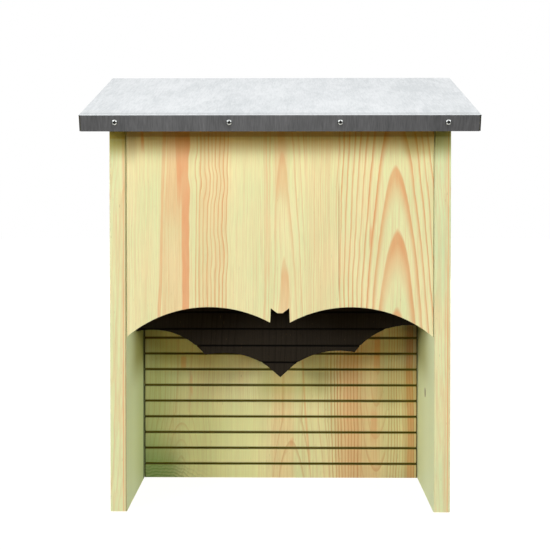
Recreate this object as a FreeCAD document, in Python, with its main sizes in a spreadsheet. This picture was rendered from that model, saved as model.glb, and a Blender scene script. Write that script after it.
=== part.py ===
import FreeCAD, Part
import math
import os
import Sketcher

# Two-chamber bat box for a wall: boards between two sides, under a single-slope roof.
# Frame: Z up, X to the viewer's right, the open front faces -Y. The origin is on the
# ground under the middle of the whole box.

V = FreeCAD.Vector
xAxis = V(1, 0, 0)
yAxis = V(0, 1, 0)

doc = FreeCAD.newDocument("bat_box")

# Driving dimensions, in millimetres and degrees
drivingSizes = {
    # body
    "body_width": 330,            # over the outer faces of the side boards
    "body_depth": 144,            # front edges of the sides to the wall
    "front_height": 380,          # sides at their front edges
    "roof_slope": 16,
    "side_board": 16,
    "front_board": 16,
    "middle_board": 16,
    "back_board": 16,
    "middle_set_back": 64,        # front edges of the sides to the middle panel
    "panel_gap": 0.4,             # each end of a panel to the side beside it
    "board_ease": 0.7,            # flat taken off the long edges
    # saw grooves
    "groove_pitch": 17.2,
    "groove_first": 14.6,         # board's lower edge to its first groove
    "groove_width": 1.6,
    "groove_depth": 3,
    "groove_top_margin": 10,
    # upper half of the bat, cut in the front panel
    "wing_top": 199.5,            # crest of each wing arc above the ground
    "wing_radius": 124.2,
    "wing_middle": 68.8,          # crest of each wing arc from the centre line
    "head_half": 9.6,
    "ear_half": 9.0,              # ear tip from the centre line
    "ear_height": 198.5,
    "crown_half": 2.6,            # flat between the ears
    "crown_height": 193.7,
    # lower half of the bat, cut in the middle panel
    "tail_height": 120.7,         # tail tip above the ground
    "tail_run": 14,
    "tail_rise": 12.4,
    "claw_run": 76.8,
    "claw_rise": 24.4,
    "inner_scallop": 80,          # radius, tail to claw
    "outer_scallop": 70.5,        # radius, claw to wing tip
    "tip_rise": 49.6,             # wing tip at the panel's end, above the tail tip
    "bat_tilt": 1.1,              # the sawn template sat slightly askew on the board
    "passage": 12,                # gap over the middle panel, for crossing between chambers
    # roof
    "eaves": 47.5,                # board past the sides' front edges, along the slope
    "roof_width": 370,            # over the folded sheet
    "roof_board": 15,
    "roof_ease": 1.2,
    "sheet_gauge": 0.7,
    "sheet_gap": 0.1,             # sheet to the board under it
    "sheet_bend": 1.4,            # outside radius of the folds
    "lip_drop": 0.2,              # lips below the board's underside
    "corner_slit": 1.3,           # open corner where front lip meets side lip
    "cut_overrun": 20,            # how far a cut runs clear of the piece
    # countersunk wood screws
    "wood_screw_head": 3.9,       # head radius
    "wood_screw_sink": 2.2,
    "wood_screw_shank": 1.9,
    "wood_screw_length": 40,
    "wood_screw_point": 5,
    "wood_screw_cross": 4.4,
    # domed lip screws
    "lip_screw_head": 2.9,
    "lip_screw_crown": 1.2,       # radius of the flat on top of the dome
    "lip_screw_swell": 2.3,       # radius part of the way down the dome
    "lip_screw_swell_rise": 1.0,
    "lip_screw_dome": 1.7,
    "lip_screw_shank": 1.3,
    "lip_screw_length": 16,
    "lip_screw_point": 3,
    "lip_screw_cross": 3.0,
    # hanger plate screws
    "plate_screw_head": 2.7,
    "plate_screw_sink": 1.4,
    "plate_screw_shank": 1.3,
    "plate_screw_length": 10,
    "plate_screw_point": 2.5,
    "plate_screw_cross": 2.8,
    "screw_tip": 0.4,
    "cross_width": 0.9,
    "cross_depth": 1.1,
    "screw_gap": 0.1,             # screw to the wall of its hole
    # where the screws stand
    "panel_screw_margin": 35,     # from a panel's ends, up and down
    "roof_screw_margin": 20,      # from the sides' front edges and from the wall
    "lip_screw_left_end": 33,     # driven by eye: outer two from the roof's ends,
    "lip_screw_left_inner": 46.4,     # inner two from the centre line
    "lip_screw_right_inner": 55.9,
    "lip_screw_right_end": 30,
    "lip_screw_level": 7.4,       # below the sheet's top face
    "side_lip_margin": 40,        # from the roof's front and rear ends
    # keyhole hanger plates
    "hanger_half": 110,           # keyhole from the centre line
    "hanger_drop": 66.7,          # keyhole below the back panel's top
    "plate_width": 18,
    "plate_length": 50,
    "plate_gauge": 1.5,
    "plate_corner": 3,
    "plate_gap": 0.1,             # plate to the wall of its recess
    "keyhole_head": 4.5,          # radius of the round entry
    "keyhole_neck": 2.3,          # half width of the slot
    "keyhole_rise": 10,           # entry centre to the slot's upper end
    "plate_screw_offset": 20,     # screws above and below the plate's middle
    "head_room_width": 13,
    "head_room_length": 26,
    "head_room_depth": 6.5,
}

screwFacets = 9                   # sides of every screw and its bore

sheet = doc.addObject("Spreadsheet::Sheet", "Sizes")
for row, (alias, value) in enumerate(drivingSizes.items(), start=1):
    sheet.set(f"A{row}", alias)
    sheet.set(f"B{row}", str(value))
    sheet.setAlias(f"B{row}", alias)
doc.recompute()

# Lengths that follow from the driving ones
derivedSizes = {
    "sheetRise": "Sizes.roof_board + Sizes.sheet_gap + Sizes.sheet_gauge",
    "sheetReach": "Sizes.sheet_gap + Sizes.sheet_gauge",
    # how far the fold of the front lip stands ahead of the sides
    "lipReach": "Sizes.eaves * cos(Sizes.roof_slope) + Derived.sheetRise * sin(Sizes.roof_slope)"
                " + Derived.sheetReach * cos(Sizes.roof_slope)"
                " - Sizes.sheet_bend * (cos(Sizes.roof_slope) + sin(Sizes.roof_slope) - 1)",
    "frontFace": "(Derived.lipReach - Sizes.body_depth) / 2",
    "wallFace": "Derived.frontFace + Sizes.body_depth",
    "panelLength": "Sizes.body_width - 2 * Sizes.side_board - 2 * Sizes.panel_gap",
    "slopeLength": "Sizes.body_depth / cos(Sizes.roof_slope)",
    "roofBoardWidth": "Sizes.roof_width - 2 * Derived.sheetReach",
    "middleTop": "Sizes.front_height + Sizes.middle_set_back * tan(Sizes.roof_slope)"
                 " - Sizes.passage",
    "backTop": "Sizes.front_height"
               " + (Sizes.body_depth - Sizes.back_board) * tan(Sizes.roof_slope)",
    # the wing arcs are lowest where they run out at the front panel's ends
    "frontLow": "Sizes.wing_top - Sizes.wing_radius + sqrt(Sizes.wing_radius^2"
                " - (Derived.panelLength / 2 - Sizes.wing_middle)^2)",
    "middleEndLow": "Sizes.tail_height + Sizes.tip_rise",
    "hangerBack": "Derived.wallFace - Sizes.plate_gauge",
    "hangerHeight": "Derived.backTop - Sizes.hanger_drop",
    "plateMiddle": "Derived.hangerHeight + Sizes.keyhole_rise / 2",
}
derived = doc.addObject("App::VarSet", "Derived")
for name in derivedSizes:
    derived.addProperty("App::PropertyFloat", name)
for name, expression in derivedSizes.items():
    derived.setExpression(name, expression)
doc.recompute()


def numberOf(expression):
    """Value of an expression of the two tables, for a sketch's first guess."""
    probe = derived.evalExpression(expression)
    return float(getattr(probe, "Value", probe))


def bind(item, links):
    for path, expression in links.items():
        item.setExpression(path, str(expression))


def originPlane(body, role):
    return next(f for f in body.Origin.OriginFeatures if f.Role == role)


def sketchOn(body, name, role, offset=None):
    sketch = body.newObject("Sketcher::SketchObject", name)
    sketch.AttachmentSupport = [(originPlane(body, role), "")]
    sketch.MapMode = "FlatFace"
    if offset:
        bind(sketch, offset)
    return sketch


def fixPoint(sketch, geometry, corner, point, label):
    """Hold a sketch point at two expressions, measured from the sketch's origin."""
    for axis, kind in enumerate(("DistanceX", "DistanceY")):
        value = numberOf(point[axis])
        if abs(value) < 1e-9:
            onAxis = -2 if kind == "DistanceX" else -1
            sketch.addConstraint(Sketcher.Constraint("PointOnObject", geometry, corner, onAxis))
            continue
        index = sketch.addConstraint(
            Sketcher.Constraint(kind, -1, 1, geometry, corner, value))
        sketch.renameConstraint(index, f"{label}{'XY'[axis]}")
        sketch.setExpression(f"Constraints.{label}{'XY'[axis]}", point[axis])


def arcBetween(start, end, radius, side):
    """Arc from start to end; side 1 puts its centre left of the way, -1 right."""
    chord = end - start
    middle = (start + end) * 0.5
    rise = math.sqrt(radius ** 2 - (chord.Length / 2) ** 2)
    normal = V(-chord.y, chord.x, 0).normalize()
    centre = middle + normal * (rise * side)
    first = math.atan2(start.y - centre.y, start.x - centre.x)
    last = math.atan2(end.y - centre.y, end.x - centre.x)
    if side < 0:
        first, last = last, first
    return Part.ArcOfCircle(Part.Circle(centre, V(0, 0, 1), radius), first, last)


def drawOutline(sketch, points, arcs=None):
    """Closed outline through points given as expressions; arcs: edge -> (radius, side)."""
    arcs = arcs or {}
    count = len(points)
    places = [V(numberOf(p[0]), numberOf(p[1]), 0) for p in points]
    ends = []
    for i in range(count):
        start, end = places[i], places[(i + 1) % count]
        if i in arcs:
            radius, side = arcs[i]
            edge = sketch.addGeometry(arcBetween(start, end, numberOf(radius), side), False)
            ends.append((1, 2) if side > 0 else (2, 1))
            index = sketch.addConstraint(
                Sketcher.Constraint("Radius", edge, numberOf(radius)))
            sketch.renameConstraint(index, f"radius{i}")
            sketch.setExpression(f"Constraints.radius{i}", radius)
        else:
            sketch.addGeometry(Part.LineSegment(start, end), False)
            ends.append((1, 2))
    for i in range(count):
        following = (i + 1) % count
        sketch.addConstraint(Sketcher.Constraint(
            "Coincident", i, ends[i][1], following, ends[following][0]))
    for i in range(count):
        fixPoint(sketch, i, ends[i][0], points[i], f"p{i}")


def drawRectangle(sketch, left, right, low, high):
    drawOutline(sketch, [(left, low), (right, low), (right, high), (left, high)])


def pad(body, name, sketch, length, symmetric=False, reverse=False):
    feature = body.newObject("PartDesign::Pad", name)
    feature.Profile = sketch
    feature.SideType = "Symmetric" if symmetric else "One side"
    feature.Reversed = reverse
    bind(feature, {"Length": length})
    doc.recompute()
    return feature


def pocket(body, name, sketch, length):
    """Cut both ways from the sketch's plane, and make sure that something was cut."""
    before = body.Shape.Volume
    feature = body.newObject("PartDesign::Pocket", name)
    feature.Profile = sketch
    feature.SideType = "Symmetric"
    bind(feature, {"Length": length})
    doc.recompute()
    if not body.Shape.Volume < before:
        raise RuntimeError(f"{body.Label}: {name} cuts nothing")
    return feature


def mirror(body, name, feature, sketch):
    copy = body.newObject("PartDesign::Mirrored", name)
    copy.Originals = [feature]
    copy.MirrorPlane = (sketch, ["V_Axis"])
    body.Tip = copy
    doc.recompute()
    return copy


def easeEdges(body, name, size, wanted, kind="Chamfer"):
    """Chamfer or fillet the edges of the body's tip that the test picks."""
    tip = body.Tip
    picked = [f"Edge{i}" for i, edge in enumerate(tip.Shape.Edges, start=1) if wanted(edge)]
    feature = body.newObject(f"PartDesign::{kind}", name)
    feature.Base = (tip, picked)
    bind(feature, {"Size" if kind == "Chamfer" else "Radius": size})
    doc.recompute()
    return feature


def runsAlong(edge, axis):
    return abs(abs(edge.tangentAt(edge.FirstParameter).dot(axis)) - 1) < 1e-6


def place(item, x=0, y=0, z=0, axis=None, angle=None):
    if axis is not None:
        item.Placement = FreeCAD.Placement(V(0, 0, 0), FreeCAD.Rotation(axis, numberOf(angle)))
        bind(item, {"Placement.Rotation.Angle": angle})
    bind(item, {"Placement.Base.x": x, "Placement.Base.y": y, "Placement.Base.z": z})


def newBody(name):
    body = doc.addObject("PartDesign::Body", name)
    body.Label = name
    return body


# Boards

def makeSideBoard(name, side):
    """Upright board with its top sawn to the roof's slope; side is -1 left, 1 right."""
    board = newBody(name)
    sketch = sketchOn(board, f"{name}_outline", "YZ_Plane")
    drawOutline(sketch, [
        ("0", "0"),
        ("Sizes.body_depth", "0"),
        ("Sizes.body_depth",
         "Sizes.front_height + Sizes.body_depth * tan(Sizes.roof_slope)"),
        ("0", "Sizes.front_height"),
    ])
    pad(board, f"{name}_thickness", sketch, "Sizes.side_board", reverse=(side > 0))
    easeEdges(board, f"{name}_edges", "Sizes.board_ease", lambda e: runsAlong(e, V(0, 0, 1)))
    place(board, x=f"{side} * Sizes.body_width / 2", y="Derived.frontFace")
    return board


def makePanel(name, thickness, setBack, low, topFront, topBack):
    """Cross board between the sides, drawn from the side and as long as the gap allows."""
    board = newBody(name)
    sketch = sketchOn(board, f"{name}_section", "YZ_Plane")
    drawOutline(sketch, [("0", low), (thickness, low), (thickness, topBack), ("0", topFront)])
    pad(board, f"{name}_length", sketch, "Derived.panelLength", symmetric=True)
    easeEdges(board, f"{name}_edges", "Sizes.board_ease",
              lambda e: runsAlong(e, V(0, 0, 1)) and abs(e.CenterOfMass.y) < 1e-6)
    place(board, y=f"Derived.frontFace + {setBack}")
    return board


def cutGrooves(board, low, top):
    """Level saw grooves from end to end of the front face, for claws to hold."""
    name = board.Label
    sketch = sketchOn(board, f"{name}_groove", "YZ_Plane")
    first = f"{low} + Sizes.groove_first"
    drawRectangle(sketch, "0", "Sizes.groove_depth", first, f"{first} + Sizes.groove_width")
    groove = pocket(board, f"{name}_first_groove", sketch, "Sizes.body_width")
    rows = board.newObject("PartDesign::LinearPattern", f"{name}_grooves")
    rows.Originals = [groove]
    rows.Direction = (sketch, ["V_Axis"])
    rows.Mode = "Spacing"
    bind(rows, {
        "Offset": "Sizes.groove_pitch",
        "Occurrences": f"floor(({top} - Sizes.groove_top_margin - ({first}))"
                       " / Sizes.groove_pitch) + 1",
    })
    board.Tip = rows
    doc.recompute()


def makeFrontPanel():
    slope = "tan(Sizes.roof_slope)"
    arcAtEnd = ("Sizes.wing_top - Sizes.wing_radius + sqrt(Sizes.wing_radius^2"
                " - (Sizes.body_width / 2 - Sizes.wing_middle)^2)")
    arcAtHead = ("Sizes.wing_top - Sizes.wing_radius + sqrt(Sizes.wing_radius^2"
                 " - (Sizes.wing_middle - Sizes.head_half)^2)")
    board = makePanel("front_panel_board", "Sizes.front_board", "0",
                      "Derived.frontLow", "Sizes.front_height",
                      f"Sizes.front_height + Sizes.front_board * {slope}")
    sketch = sketchOn(board, "upper_bat", "XZ_Plane")
    below = f"{arcAtEnd} - Sizes.cut_overrun"
    drawOutline(sketch, [
        ("0", below),
        ("Sizes.body_width / 2", below),
        ("Sizes.body_width / 2", arcAtEnd),
        ("Sizes.head_half", arcAtHead),
        ("Sizes.ear_half", "Sizes.ear_height"),
        ("Sizes.crown_half", "Sizes.crown_height"),
        ("0", "Sizes.crown_height"),
    ], {2: ("Sizes.wing_radius", 1)})
    wing = pocket(board, "upper_bat_half", sketch, "4 * Sizes.front_board")
    mirror(board, "upper_bat_whole", wing, sketch)
    return board


def makeMiddlePanel():
    board = makePanel("middle_panel_board", "Sizes.middle_board", "Sizes.middle_set_back",
                      "Sizes.tail_height", "Derived.middleTop", "Derived.middleTop")
    cutGrooves(board, "Sizes.tail_height", "Derived.middleTop")
    sketch = sketchOn(board, "lower_bat", "XZ_Plane",
                      {"AttachmentOffset.Base.y": "Sizes.tail_height",
                       "AttachmentOffset.Rotation.Angle": "Sizes.bat_tilt"})
    wide = "Sizes.body_width / 2"
    drawOutline(sketch, [
        ("0", "0"),
        ("0", "-1 * Sizes.claw_rise"),
        (wide, "-1 * Sizes.claw_rise"),
        (wide, "Sizes.tip_rise"),
        ("Derived.panelLength / 2", "Sizes.tip_rise"),
        ("Sizes.claw_run", "Sizes.claw_rise"),
        ("Sizes.tail_run", "Sizes.tail_rise"),
    ], {4: ("Sizes.outer_scallop", 1), 5: ("Sizes.inner_scallop", 1)})
    wing = pocket(board, "lower_bat_half", sketch, "4 * Sizes.middle_board")
    mirror(board, "lower_bat_whole", wing, sketch)
    return board


def makeBackPanel():
    board = makePanel("back_panel_board", "Sizes.back_board",
                      "Sizes.body_depth - Sizes.back_board", "0", "Derived.backTop",
                      "Derived.backTop + Sizes.back_board * tan(Sizes.roof_slope)")
    cutGrooves(board, "0", "Derived.backTop")
    for side, label in ((-1, "left"), (1, "right")):
        recess = sketchOn(board, f"{label}_plate_recess", "XZ_Plane",
                          {"AttachmentOffset.Base.z": "-1 * Sizes.back_board"})
        drawRoundedPlate(recess, side, "Sizes.plate_gap")
        pocket(board, f"{label}_plate_seat", recess, "2 * Sizes.plate_gauge")
        room = sketchOn(board, f"{label}_head_room_outline", "XZ_Plane",
                        {"AttachmentOffset.Base.z": "-1 * Sizes.back_board"})
        middle = f"{side} * Sizes.hanger_half"
        drawRectangle(room,
                      f"{middle} - Sizes.head_room_width / 2",
                      f"{middle} + Sizes.head_room_width / 2",
                      "Derived.plateMiddle - Sizes.head_room_length / 2",
                      "Derived.plateMiddle + Sizes.head_room_length / 2")
        pocket(board, f"{label}_head_room", room,
               "2 * (Sizes.plate_gauge + Sizes.head_room_depth)")
    return board


# Keyhole hanger plates

def drawRoundedPlate(sketch, side, gap):
    """Plate outline with round corners, grown by a gap where it is a recess."""
    middle = f"{side} * Sizes.hanger_half"
    centre = "Derived.plateMiddle"
    left = f"{middle} - Sizes.plate_width / 2 - {gap}"
    right = f"{middle} + Sizes.plate_width / 2 + {gap}"
    low = f"{centre} - Sizes.plate_length / 2 - {gap}"
    high = f"{centre} + Sizes.plate_length / 2 + {gap}"
    corner = f"(Sizes.plate_corner + {gap})"
    drawOutline(sketch, [
        (f"{left} + {corner}", low), (f"{right} - {corner}", low),
        (right, f"{low} + {corner}"), (right, f"{high} - {corner}"),
        (f"{right} - {corner}", high), (f"{left} + {corner}", high),
        (left, f"{high} - {corner}"), (left, f"{low} + {corner}"),
    ], {1: (corner, 1), 3: (corner, 1), 5: (corner, 1), 7: (corner, 1)})


def makeHangerPlate(name, side):
    plate = newBody(name)
    sketch = sketchOn(plate, f"{name}_outline", "XZ_Plane")
    drawRoundedPlate(sketch, side, "0")
    pad(plate, f"{name}_gauge", sketch, "Sizes.plate_gauge", reverse=True)
    keyhole = sketchOn(plate, f"{name}_keyhole", "XZ_Plane")
    middle = f"{side} * Sizes.hanger_half"
    neck = "Sizes.keyhole_neck"
    shoulder = "Derived.hangerHeight + sqrt(Sizes.keyhole_head^2 - Sizes.keyhole_neck^2)"
    crown = "Derived.hangerHeight + Sizes.keyhole_rise - Sizes.keyhole_neck"
    drawOutline(keyhole, [
        (f"{middle} - {neck}", shoulder),
        (middle, "Derived.hangerHeight - Sizes.keyhole_head"),
        (f"{middle} + {neck}", shoulder),
        (f"{middle} + {neck}", crown),
        (middle, f"{crown} + {neck}"),
        (f"{middle} - {neck}", crown),
    ], {0: ("Sizes.keyhole_head", 1), 1: ("Sizes.keyhole_head", 1),
        3: (neck, 1), 4: (neck, 1)})
    pocket(plate, f"{name}_keyhole_cut", keyhole, "4 * Sizes.plate_gauge")
    place(plate, y="Derived.hangerBack")
    return plate


# Roof, drawn flat: X across, Y up the slope from the sides' front edges, Z off the boards

def placeOnSlope(body):
    place(body, y="Derived.frontFace", z="Sizes.front_height",
          axis=xAxis, angle="Sizes.roof_slope")


def makeRoofBoard():
    board = newBody("roof_board_blank")
    sketch = sketchOn(board, "roof_board_section", "YZ_Plane")
    drawRectangle(sketch, "-1 * Sizes.eaves", "Derived.slopeLength", "0", "Sizes.roof_board")
    pad(board, "roof_board_width", sketch, "Derived.roofBoardWidth", symmetric=True)
    top = board.Shape.BoundBox.ZMax
    rear = board.Shape.BoundBox.YMax
    easeEdges(board, "roof_board_edges", "Sizes.roof_ease",
              lambda e: e.CenterOfMass.z > top - 1e-6 and e.CenterOfMass.y < rear - 1e-6)
    placeOnSlope(board)
    return board


def makeRoofSheet():
    """Sheet folded down over the front and both sides, open underneath and at the wall."""
    metal = newBody("roof_sheet_blank")
    outer = sketchOn(metal, "roof_sheet_outer", "YZ_Plane")
    front = "-1 * (Sizes.eaves + Derived.sheetReach)"
    drawRectangle(outer, front, "Derived.slopeLength", "-1 * Sizes.lip_drop",
                  "Derived.sheetRise")
    pad(metal, "roof_sheet_width", outer, "Sizes.roof_width", symmetric=True)
    inner = sketchOn(metal, "roof_sheet_inner", "YZ_Plane")
    drawRectangle(inner, "-1 * (Sizes.eaves + Sizes.sheet_gap)",
                  "Derived.slopeLength + Sizes.cut_overrun",
                  "-1 * (Sizes.lip_drop + Sizes.cut_overrun)",
                  "Sizes.roof_board + Sizes.sheet_gap")
    pocket(metal, "roof_sheet_hollow", inner, "Sizes.roof_width - 2 * Sizes.sheet_gauge")
    box = metal.Shape.BoundBox

    def onOuterFold(edge):
        middle = edge.CenterOfMass
        onTop = middle.z > box.ZMax - 1e-6
        return onTop and middle.y < box.YMax - 1e-6

    def onInnerFold(edge):
        middle = edge.CenterOfMass
        level = abs(middle.z - numberOf("Sizes.roof_board + Sizes.sheet_gap")) < 1e-6
        return level and middle.y < box.YMax - 1e-6

    easeEdges(metal, "roof_sheet_folds", "Sizes.sheet_bend", onOuterFold, kind="Fillet")
    easeEdges(metal, "roof_sheet_inner_folds", "Sizes.sheet_bend - Sizes.sheet_gauge",
              onInnerFold, kind="Fillet")
    for side in (-1, 1):
        name = "left" if side < 0 else "right"
        slit = sketchOn(metal, f"{name}_corner_slit", "XY_Plane")
        edge = f"{side} * Sizes.roof_width / 2"
        drawRectangle(slit, f"{edge} - {side} * Sizes.corner_slit",
                      f"{edge} + {side} * Sizes.cut_overrun",
                      f"{front} - Sizes.cut_overrun", f"{front} + Sizes.corner_slit")
        pocket(metal, f"{name}_corner_cut", slit,
               "2 * (Derived.sheetRise - Sizes.sheet_bend)")
    placeOnSlope(metal)
    return metal


# Screws: the head's rim lies at z = 0 and the point is below

def ring(name, radius, height):
    section = doc.addObject("Part::RegularPolygon", name)
    section.Polygon = screwFacets
    bind(section, {"Circumradius": radius, "Placement.Base.z": height})
    return section


def screwForm(name, kind, gap, headRings):
    """Faceted screw, or its bore, as one loft from the head down to the point."""
    shank = f"Sizes.{kind}_shank + {gap}"
    rings = headRings + [
        (shank, f"Sizes.{kind}_point - Sizes.{kind}_length"),
        (f"Sizes.screw_tip + {gap}", f"-1 * Sizes.{kind}_length - {gap}"),
    ]
    form = doc.addObject("Part::Loft", name)
    form.Sections = [ring(f"{name}_ring", radius, height) for radius, height in rings]
    form.Solid = True
    form.Ruled = True
    return form


def headRings(kind, gap, isBore):
    """Rings of the head, top first: a countersunk cone, or a dome on a flat face."""
    head = f"Sizes.{kind}_head + {gap}"
    shank = f"Sizes.{kind}_shank + {gap}"
    if kind != "lip_screw":
        return [(head, "0"), (shank, f"-1 * Sizes.{kind}_sink")]
    if isBore:
        return [(shank, "2 * Sizes.sheet_gauge")]
    return [
        ("Sizes.lip_screw_crown", "Sizes.lip_screw_dome"),
        ("Sizes.lip_screw_swell", "Sizes.lip_screw_swell_rise"),
        (head, "Sizes.screw_gap"),
        (shank, "0"),
    ]


def makeBore(kind):
    gap = "Sizes.screw_gap"
    return screwForm(f"{kind}_bore", kind, gap, headRings(kind, gap, True))


def makeScrew(kind):
    """Screw with a cross recess sunk in its head."""
    form = screwForm(f"{kind}_form", kind, "0", headRings(kind, "0", False))
    top = "Sizes.lip_screw_dome" if kind == "lip_screw" else "0"
    arms = []
    for long, wide in ((f"Sizes.{kind}_cross", "Sizes.cross_width"),
                       ("Sizes.cross_width", f"Sizes.{kind}_cross")):
        arm = doc.addObject("Part::Box", f"{kind}_cross_arm")
        bind(arm, {"Length": long, "Width": wide, "Height": "2 * Sizes.cross_depth"})
        place(arm, x=f"-1 * {long} / 2", y=f"-1 * {wide} / 2", z=f"{top} - Sizes.cross_depth")
        arms.append(arm)
    cross = doc.addObject("Part::MultiFuse", f"{kind}_cross_tool")
    cross.Shapes = arms
    screw = doc.addObject("Part::Cut", kind)
    screw.Base = form
    screw.Tool = cross
    return screw


def slopePoint(along, up):
    """Global Y and Z of a point given up the slope and off the boards' underside."""
    y = (f"Derived.frontFace + ({along}) * cos(Sizes.roof_slope)"
         f" - ({up}) * sin(Sizes.roof_slope)")
    z = (f"Sizes.front_height + ({along}) * sin(Sizes.roof_slope)"
         f" + ({up}) * cos(Sizes.roof_slope)")
    return y, z


def groupOf(name, body, spots):
    """One node of equal pieces, each a linked copy of body at its own spot."""
    copies = []
    for number, (x, y, z, axis, angle) in enumerate(spots, start=1):
        copy = doc.addObject("App::Link", f"{name}_{number}")
        copy.LinkedObject = body
        place(copy, x=x, y=y, z=z, axis=axis, angle=angle)
        copies.append(copy)
    group = doc.addObject("Part::Compound", name)
    group.Links = copies
    return group


def sideSpots(setBack, thickness, low, top, count):
    """Screws through both side boards into a panel's ends, evenly between its margins."""
    y = f"Derived.frontFace + {setBack} + {thickness} / 2"
    run = f"({top} - {low} - 2 * Sizes.panel_screw_margin)"
    heights = [f"{low} + Sizes.panel_screw_margin + {run} * {step} / {count - 1}"
               for step in range(count)]
    return [(f"{side} * Sizes.body_width / 2", y, height, yAxis, f"{side} * 90")
            for side in (-1, 1) for height in heights]


roofFront = "(-1 * (Sizes.eaves + Derived.sheetReach))"
lipLevel = "Derived.sheetRise - Sizes.lip_screw_level"
screwSpots = {
    "front_panel_screws": ("wood_screw", sideSpots(
        "0", "Sizes.front_board", "Derived.frontLow", "Sizes.front_height", 2)),
    "middle_panel_screws": ("wood_screw", sideSpots(
        "Sizes.middle_set_back", "Sizes.middle_board",
        "Derived.middleEndLow", "Derived.middleTop", 2)),
    "back_panel_screws": ("wood_screw", sideSpots(
        "Sizes.body_depth - Sizes.back_board", "Sizes.back_board",
        "0", "Derived.backTop", 3)),
    "roof_board_screws": ("wood_screw", [
        (f"{side} * (Sizes.body_width - Sizes.side_board) / 2",
         *slopePoint(along, "Sizes.roof_board"), xAxis, "Sizes.roof_slope")
        for side in (-1, 1)
        for along in ("Sizes.roof_screw_margin", "Derived.slopeLength - Sizes.roof_screw_margin")]),
    "lip_screws_front": ("lip_screw", [
        (x, *slopePoint(roofFront, lipLevel), xAxis, "90 + Sizes.roof_slope")
        for x in ("Sizes.lip_screw_left_end - Sizes.roof_width / 2",
                  "-1 * Sizes.lip_screw_left_inner",
                  "Sizes.lip_screw_right_inner",
                  "Sizes.roof_width / 2 - Sizes.lip_screw_right_end")]),
    "lip_screws_side": ("lip_screw", [
        (f"{side} * Sizes.roof_width / 2", *slopePoint(along, lipLevel), yAxis, f"{side} * 90")
        for side in (-1, 1)
        for along in (f"{roofFront} + Sizes.side_lip_margin",
                      "Derived.slopeLength - Sizes.side_lip_margin")]),
    "hanger_plate_screws": ("plate_screw", [
        (f"{side} * Sizes.hanger_half", "Derived.wallFace",
         f"Derived.plateMiddle + {up} * Sizes.plate_screw_offset", xAxis, "-90")
        for side in (-1, 1) for up in (-1, 1)]),
}


def boredThrough(name, blank, groups):
    """The piece as fitted: its blank less the bores of every screw that enters it."""
    tool = doc.addObject("Part::Compound", f"{name}_bores")
    tool.Links = [boreGroups[group] for group in groups]
    piece = doc.addObject("Part::Cut", name)
    piece.Base = blank
    piece.Tool = tool
    piece.Label = name
    return piece


screws = {kind: makeScrew(kind) for kind in ("wood_screw", "lip_screw", "plate_screw")}
bores = {kind: makeBore(kind) for kind in screws}
screwGroups = {name: groupOf(name, screws[kind], spots)
               for name, (kind, spots) in screwSpots.items()}
boreGroups = {name: groupOf(f"{name}_bore", bores[kind], spots)
              for name, (kind, spots) in screwSpots.items()}

sideScrews = ["front_panel_screws", "middle_panel_screws", "back_panel_screws",
              "roof_board_screws"]
lipScrews = ["lip_screws_front", "lip_screws_side"]
pieces = [
    boredThrough("left_side", makeSideBoard("left_side_board", -1), sideScrews),
    boredThrough("right_side", makeSideBoard("right_side_board", 1), sideScrews),
    boredThrough("front_panel", makeFrontPanel(), ["front_panel_screws"]),
    boredThrough("middle_panel", makeMiddlePanel(), ["middle_panel_screws"]),
    boredThrough("back_panel", makeBackPanel(),
                 ["back_panel_screws", "hanger_plate_screws"]),
    boredThrough("roof_board", makeRoofBoard(), lipScrews + ["roof_board_screws"]),
    boredThrough("roof_sheet", makeRoofSheet(), lipScrews),
    boredThrough("left_hanger_plate", makeHangerPlate("left_plate_blank", -1),
                 ["hanger_plate_screws"]),
    boredThrough("right_hanger_plate", makeHangerPlate("right_plate_blank", 1),
                 ["hanger_plate_screws"]),
    *screwGroups.values(),
]
doc.recompute()

for item in doc.Objects:
    if "Invalid" in item.State or "Error" in item.State:
        raise RuntimeError(f"{item.Label} failed: {item.State}")
for piece in pieces:
    if piece.Shape.isNull() or not piece.Shape.isValid():
        raise RuntimeError(f"{piece.Label} has no sound shape")

os.makedirs("parts", exist_ok=True)
for piece in pieces:
    piece.Shape.exportStep(f"parts/{piece.Label}.step")
    print(piece.Label, len(piece.Shape.Solids), round(piece.Shape.Volume))
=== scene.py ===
import math
import bmesh
import bpy
from mathutils import Matrix, Vector


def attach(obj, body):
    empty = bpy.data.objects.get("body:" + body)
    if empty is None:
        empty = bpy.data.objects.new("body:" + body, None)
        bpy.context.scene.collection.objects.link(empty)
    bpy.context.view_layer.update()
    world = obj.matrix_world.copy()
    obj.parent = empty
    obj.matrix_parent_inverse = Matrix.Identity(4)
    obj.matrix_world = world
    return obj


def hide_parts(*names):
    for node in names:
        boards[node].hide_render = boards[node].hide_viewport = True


# Bat box for a wall: looks for the boards, the galvanised roof and the screws.
# Patterns on the wood are laid out in millimetres, in the same frame as the boards.

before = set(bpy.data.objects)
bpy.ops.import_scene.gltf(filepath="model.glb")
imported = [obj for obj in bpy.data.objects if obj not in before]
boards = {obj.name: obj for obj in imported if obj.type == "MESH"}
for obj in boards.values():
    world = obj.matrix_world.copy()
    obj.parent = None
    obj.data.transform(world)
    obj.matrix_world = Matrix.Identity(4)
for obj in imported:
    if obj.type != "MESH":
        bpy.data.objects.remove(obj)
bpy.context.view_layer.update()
millimetre = 0.001
noiseRange = (0.25, 0.75)   # most of a noise texture stays within this
print("frame loaded:", len(boards), "nodes")


def hexColour(code):
    # sRGB hex to the linear colour that a shader takes
    parts = [int(code[i:i + 2], 16) / 255 for i in (0, 2, 4)]
    linear = [p / 12.92 if p <= 0.04045 else ((p + 0.055) / 1.055) ** 2.4 for p in parts]
    return (*linear, 1.0)


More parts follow.
